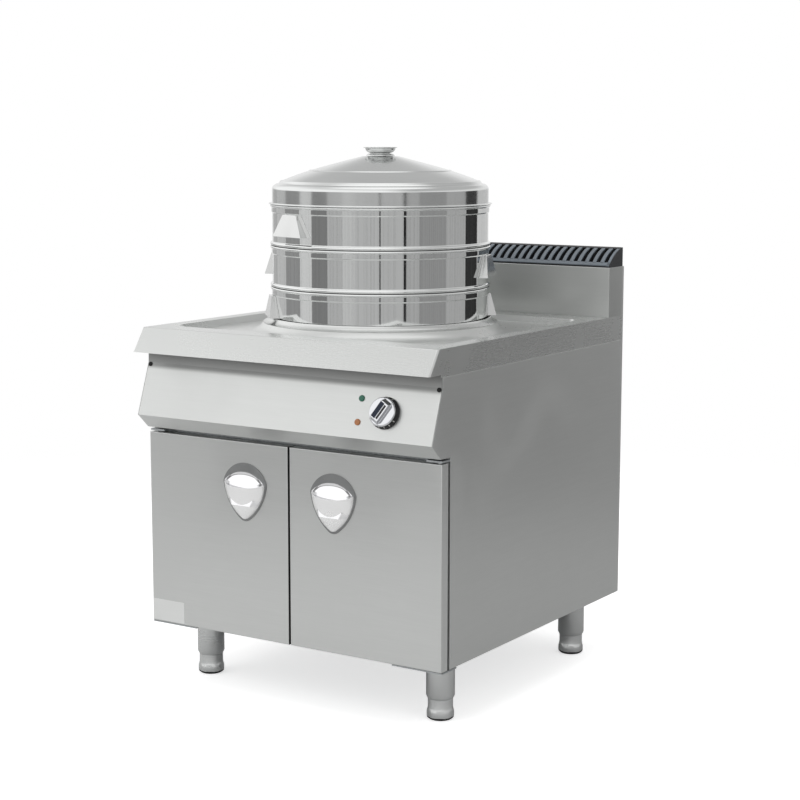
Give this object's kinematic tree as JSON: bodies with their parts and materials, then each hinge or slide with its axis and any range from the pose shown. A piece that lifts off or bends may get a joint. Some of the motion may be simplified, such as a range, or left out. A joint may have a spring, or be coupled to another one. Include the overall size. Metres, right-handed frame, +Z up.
{
  "type": "commercial food steamer",
  "caption": "Floor standing stainless steel food steamer: cabinet with doors on legs, round steam well, stacked steaming tiers under a domed lid, rear flue.",
  "frame": {"origin": "on the floor, under the middle of the overall bounding box", "axes": "+X to the right seen from the front, +Y to the back, +Z up"},
  "size_m": [0.8, 0.9, 1.25],
  "materials": {
    "stainless_satin": "satin",
    "stainless_polished": "polished",
    "galvanised": "matt",
    "black_plastic": "matt",
    "black_rubber": "matt",
    "grille_enamel": "satin enamel",
    "chrome": "polished",
    "dark_backing": "satin",
    "green_lens": "gloss",
    "amber_lens": "gloss",
    "plain_label": "satin",
    "steel_bright": "bright",
    "tank_steel": "satin",
    "brass": "satin",
    "cream_plastic": "matt"
  },
  "bodies": {
    "cabinet": {"worktop": "stainless_satin", "splashback": "stainless_satin", "flue_grille": "grille_enamel", "grille_end_caps": "black_plastic", "right_side_panel": "stainless_satin", "left_side_panel": "stainless_satin", "rear_panel": "stainless_satin", "floor_panel": "galvanised", "front_rails": "galvanised", "control_panel": "stainless_satin", "panel_plugs": "black_plastic", "green_lamp": "green_lens", "amber_lamp": "amber_lens", "leg_plates": "galvanised", "leg_tubes": "stainless_satin", "door_magnets": "steel_bright", "thermostat": "steel_bright", "contactor": "black_plastic", "terminal_block": "cream_plastic", "cable_gland": "black_plastic", "steam_ring": "stainless_satin", "water_tank": "tank_steel", "heating_elements": "tank_steel", "drain_pipe": "tank_steel", "drain_valve": "brass", "overflow_pipe": "tank_steel", "water_inlet": "tank_steel"},
    "thermostat_knob": {"knob_skirt": "black_plastic", "knob_cap": "chrome"},
    "drain_handle": {"drain_lever": "black_plastic"},
    "lid": {"lid_shell": "stainless_satin", "lid_knob": "stainless_polished"},
    "left_door": {"left_door_skin": "stainless_satin", "left_door_liner": "galvanised", "left_door_handle": "chrome", "left_handle_backplate": "dark_backing", "left_hinge_pins": "steel_bright", "rating_plate": "plain_label"},
    "right_door": {"right_door_skin": "stainless_satin", "right_door_liner": "galvanised", "right_door_handle": "chrome", "right_handle_backplate": "dark_backing", "right_hinge_pins": "steel_bright"},
    "foot_assembly_front_left": {"foot_front_left": "stainless_satin", "foot_pad_front_left": "black_rubber"},
    "foot_assembly_front_right": {"foot_front_right": "stainless_satin", "foot_pad_front_right": "black_rubber"},
    "foot_assembly_rear_left": {"foot_rear_left": "stainless_satin", "foot_pad_rear_left": "black_rubber"},
    "foot_assembly_rear_right": {"foot_rear_right": "stainless_satin", "foot_pad_rear_right": "black_rubber"},
    "tier_1": {"tier_1_wall": "stainless_polished", "tier_1_tray": "stainless_polished", "tier_1_grips": "stainless_polished"},
    "tier_2": {"tier_2_wall": "stainless_polished", "tier_2_tray": "stainless_polished", "tier_2_grips": "stainless_polished"},
    "tier_3": {"tier_3_wall": "stainless_polished", "tier_3_tray": "stainless_polished", "tier_3_grips": "stainless_polished"}
  },
  "joints": [
    {"name": "left_door_hinge", "type": "hinge", "parent": "cabinet", "child": "left_door", "pos_m": [-0.3855, -0.38365, 0.3695], "axis": [0, 0, -1], "range_deg": [0, 110]},
    {"name": "right_door_hinge", "type": "hinge", "parent": "cabinet", "child": "right_door", "pos_m": [0.3855, -0.38365, 0.3695], "axis": [0, 0, 1], "range_deg": [0, 110]},
    {"name": "thermostat_turn", "type": "hinge", "parent": "cabinet", "child": "thermostat_knob", "pos_m": [0.271, -0.4168, 0.69659], "axis": [0, 0.9448, -0.3277], "range_deg": [0, 270]},
    {"name": "drain_lever_turn", "type": "hinge", "parent": "cabinet", "child": "drain_handle", "pos_m": [-0.15, 0.023, 0.56], "axis": [0, 1, 0], "range_deg": [0, 90]},
    {"name": "foot_screw_front_left", "type": "slide", "parent": "cabinet", "child": "foot_assembly_front_left", "axis": [0, 0, 1], "range_m": [-0.03, 0]},
    {"name": "foot_screw_front_right", "type": "slide", "parent": "cabinet", "child": "foot_assembly_front_right", "axis": [0, 0, 1], "range_m": [-0.03, 0]},
    {"name": "foot_screw_rear_left", "type": "slide", "parent": "cabinet", "child": "foot_assembly_rear_left", "axis": [0, 0, 1], "range_m": [-0.03, 0]},
    {"name": "foot_screw_rear_right", "type": "slide", "parent": "cabinet", "child": "foot_assembly_rear_right", "axis": [0, 0, 1], "range_m": [-0.03, 0]},
    {"name": "tier_1_lift", "type": "slide", "parent": "cabinet", "child": "tier_1", "axis": [0, 0, 1], "range_m": [0, 0.2]},
    {"name": "tier_2_lift", "type": "slide", "parent": "tier_1", "child": "tier_2", "axis": [0, 0, 1], "range_m": [0, 0.15]},
    {"name": "tier_3_lift", "type": "slide", "parent": "tier_2", "child": "tier_3", "axis": [0, 0, 1], "range_m": [0, 0.15]},
    {"name": "lid_lift", "type": "slide", "parent": "tier_3", "child": "lid", "axis": [0, 0, 1], "range_m": [0, 0.15]}
  ]
}
